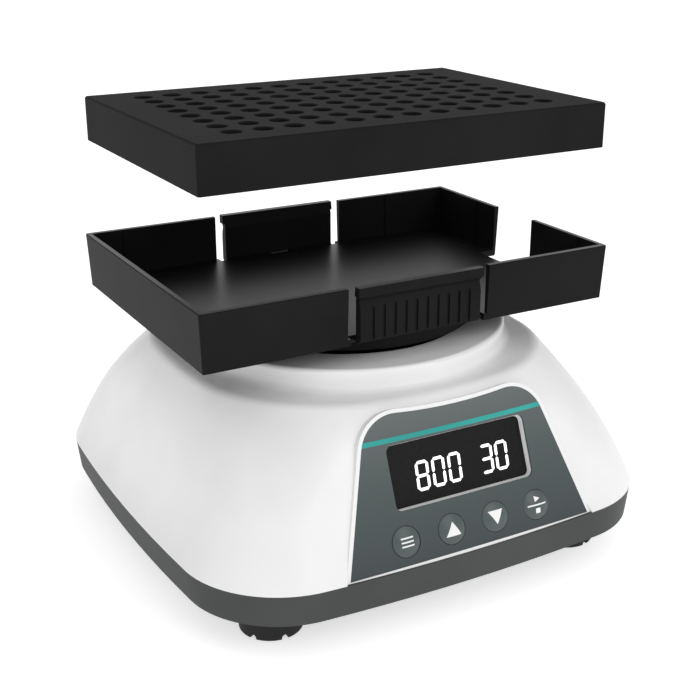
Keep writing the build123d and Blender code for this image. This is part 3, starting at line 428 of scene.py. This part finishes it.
def digit(figure, x, v):
    """The lit bars of one seven-segment figure whose lower left corner is at x, v."""
    lit = {"8": "abcdefg", "0": "abcdef", "3": "abcdg"}[figure]
    w = digit_width - digit_stroke
    h = (digit_height - digit_stroke) / 2
    bars = {
        "a": (0, 2 * h, w, 2 * h),
        "b": (w, 2 * h, w, h),
        "c": (w, h, w, 0),
        "d": (0, 0, w, 0),
        "e": (0, h, 0, 0),
        "f": (0, 2 * h, 0, h),
        "g": (0, h, w, h),
    }
    outlines = []
    for name in lit:
        points = segment(*bars[name])
        shifted = [(x + digit_stroke / 2 + p.x + math.tan(digit_slant) * p.y, v + digit_stroke / 2 + p.y)
                   for p in points]
        outlines.append(shifted)
    return outlines


def make_figures(material):
    """The display's figures on the smoked window."""
    outlines = []
    for figure, x in digits:
        outlines += digit(figure, x * MM, digit_foot)

    def place(x, v, out):
        return on_plane(x, v, out - lens_depth + print_lift)

    figures = flat_piece("display_figures", outlines, place, material)
    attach(figures, "base")


def dome_height(x, v):
    """How far a key's dome stands out of the panel at a distance from its middle."""
    sphere = (key_radius**2 + key_dome**2) / (2 * key_dome)
    return math.sqrt(max(sphere**2 - x * x - v * v, 0)) - sphere + key_dome


def key_mark(key, outlines, material):
    """A raised mark that follows a key's dome."""
    low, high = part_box(key)
    middle_x = (low.x + high.x) / 2

    def place(x, v, out):
        return on_plane(middle_x + x, key_row + v, dome_height(x, v) + out - bow(middle_x))

    mark = flat_piece(f"{key}_mark", outlines, place, material)
    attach(mark, key)


def tapered(v0, half0, v1, half1, x=0.0):
    """A shape between two levels, with its half width at each, in small cells that can follow a dome."""
    cells = []
    for i in range(mark_rows):
        low, high = (v0 + (v1 - v0) * share / mark_rows for share in (i, i + 1))
        narrow, wide = (half0 + (half1 - half0) * share / mark_rows for share in (i, i + 1))
        for j in range(mark_columns):
            left, right = (2 * share / mark_columns - 1 for share in (j, j + 1))
            cells.append([(x + narrow * left, low), (x + narrow * right, low),
                          (x + wide * right, high), (x + wide * left, high)])
    return cells


def bar(half, low, high):
    """A level bar between two levels."""
    return tapered(low, half, high, half)


def make_key_marks(material):
    """Plain signs: three bars, up, down, and a start and stop sign over and under a bar."""
    menu = []
    for v in (-menu_pitch, 0.0, menu_pitch):
        menu += bar(menu_half, v - mark_stroke / 2, v + mark_stroke / 2)
    key_mark("key_menu", menu, material)
    key_mark("key_up", tapered(-arrow_foot, arrow_half, arrow_tip, mark_tip), material)
    key_mark("key_down", tapered(arrow_foot, arrow_half, -arrow_tip, mark_tip), material)
    sign = tapered(start_sign_left, start_sign_half, start_sign_right, mark_tip, start_sign_v)
    start = bar(start_bar_half, -mark_stroke / 2, mark_stroke / 2)
    start += [[(v, x) for x, v in cell] for cell in sign]
    start += bar(stop_sign_half, stop_sign_low, stop_sign_high)
    key_mark("key_start", start, material)


def dress(name, material):
    """Give a carried-over node its material."""
    slots = nodes[name].data.materials
    slots.clear()
    slots.append(material)


def make_finishes():
    """The material for each material slot of the record."""
    white = moulded("white moulding", grey(0.80), grey(0.84), (0.34, 0.42), 900, 0.03,
                    specular=0.4, coat=0.15, coat_rough=0.25)
    skirt = moulded("skirt moulding", (0.054, 0.057, 0.057), (0.061, 0.064, 0.064), (0.5, 0.62), 2500, 0.15,
                    specular=0.15)
    black = moulded("drive moulding", grey(0.007), grey(0.010), (0.44, 0.54), 2500, 0.10, specular=0.07)
    rubber = moulded("foot rubber", grey(0.008), grey(0.014), (0.55, 0.75), 1800, 0.3, specular=0.3)
    key = moulded("key skin", (0.062, 0.082, 0.082), (0.070, 0.090, 0.090), (0.3, 0.4), 2500, 0.05,
                  specular=0.4)
    block = moulded("anodised block", grey(0.008), grey(0.011), (0.6, 0.72), 4000, 0.10, specular=0.08)
    board = moulded("board lacquer", (0.01, 0.10, 0.04), (0.015, 0.13, 0.05), (0.35, 0.5), 900, 0.1)
    socket = moulded("socket moulding", grey(0.01), grey(0.02), (0.35, 0.45), 1500, 0.05)
    steel = metal("plated steel", (0.42, 0.42, 0.43), (0.55, 0.55, 0.56), (0.28, 0.42), 1200)
    pin = metal("blackened steel", grey(0.02), grey(0.03), (0.4, 0.5), 1200)
    bright = metal("machined aluminium", (0.62, 0.62, 0.63), (0.72, 0.72, 0.73), (0.3, 0.45), 900)
    brass = metal("turned brass", (0.55, 0.38, 0.15), (0.65, 0.46, 0.2), (0.28, 0.4), 900)
    # The tray and clips get a painted sheen on their up-facing faces
    satin = tray_material()
    return {
        "skirt": skirt, "shell": white, "panel": panel_material(), "key": key, "lens": lens_material(),
        "display": socket, "board": board, "parts": socket, "steel": steel, "pin": pin, "bearing": steel,
        "deck": bright, "weight": brass, "stator": steel, "drive": black, "tray": satin, "clip": satin,
        "foot": rubber, "block": block, "wire": socket, "socket": socket,
    }


def main():
    make_camera()
    make_stage()
    finishes = make_finishes()
    for part in frame["record"]["subparts"]:
        dress(part["node"], finishes[part["material_slot"]])
    teal = moulded("teal print", (0.02, 0.30, 0.27), (0.03, 0.36, 0.33), (0.4, 0.5), 1500, 0.03, specular=0.3)
    white_print = moulded("white print", grey(0.80), grey(0.86), (0.4, 0.5), 1500, 0.03)
    make_stripe(teal)
    make_figures(lit_material())
    make_key_marks(white_print)


main()
